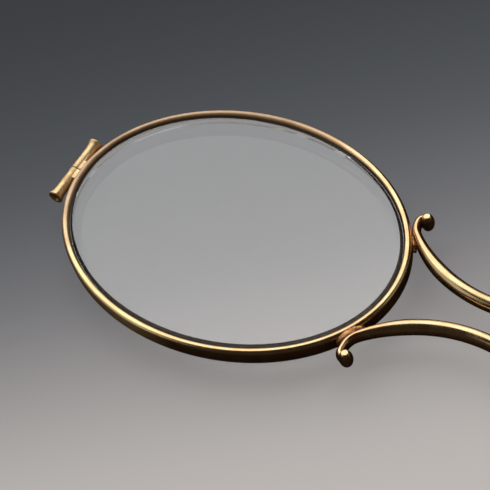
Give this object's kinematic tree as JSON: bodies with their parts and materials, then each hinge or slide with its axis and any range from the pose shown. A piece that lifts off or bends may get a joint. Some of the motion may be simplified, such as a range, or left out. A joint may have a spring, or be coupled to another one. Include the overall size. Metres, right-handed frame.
{
  "type": "lorgnette",
  "caption": "Pair of oval lenses in slender gold rims joined by curled scroll wires, with a slim turned handle that folds across them and ends in a ring.",
  "frame": {"origin": "centre of the part's box, on the surface that it lies on", "axes": "+X from the free lens along the pair to the handle and its ring, +Y up on the wearer's face, +Z out of the lenses on the side to which the handle folds"},
  "size_m": [0.2148, 0.0304, 0.0057],
  "materials": {
    "gold": "polished",
    "pale_gold": "satin",
    "screw_gold": "polished",
    "solder": "tarnished",
    "glass": "polished"
  },
  "bodies": {
    "front": {"left_rim": "gold", "right_rim": "gold", "left_lens": "glass", "right_lens": "glass", "upper_bridge_scroll": "gold", "lower_bridge_scroll": "gold", "bridge_solder": "solder", "left_upper_closing_tube": "pale_gold", "left_lower_closing_tube": "pale_gold", "left_closing_screw": "screw_gold", "right_upper_knuckle": "gold", "right_lower_knuckle": "gold", "hinge_screw": "screw_gold"},
    "handle": {"handle_knuckle": "gold", "handle_neck": "gold", "neck_rivet": "screw_gold", "front_ferrule": "gold", "stem_tube": "gold", "rear_ferrule": "gold", "handle_finial": "gold", "ring_eye": "screw_gold"},
    "ring": {"suspension_ring": "gold"}
  },
  "joints": [
    {"name": "handle_fold", "type": "hinge", "parent": "front", "child": "handle", "pos_m": [-0.00559, 0, 0.0046], "axis": [0, -1, 0], "range_deg": [0, 180]},
    {"name": "ring_swing", "type": "hinge", "parent": "handle", "child": "ring", "pos_m": [0.09851, 0, 0.0023], "axis": [0, 1, 0], "range_deg": [-100, 138]}
  ]
}
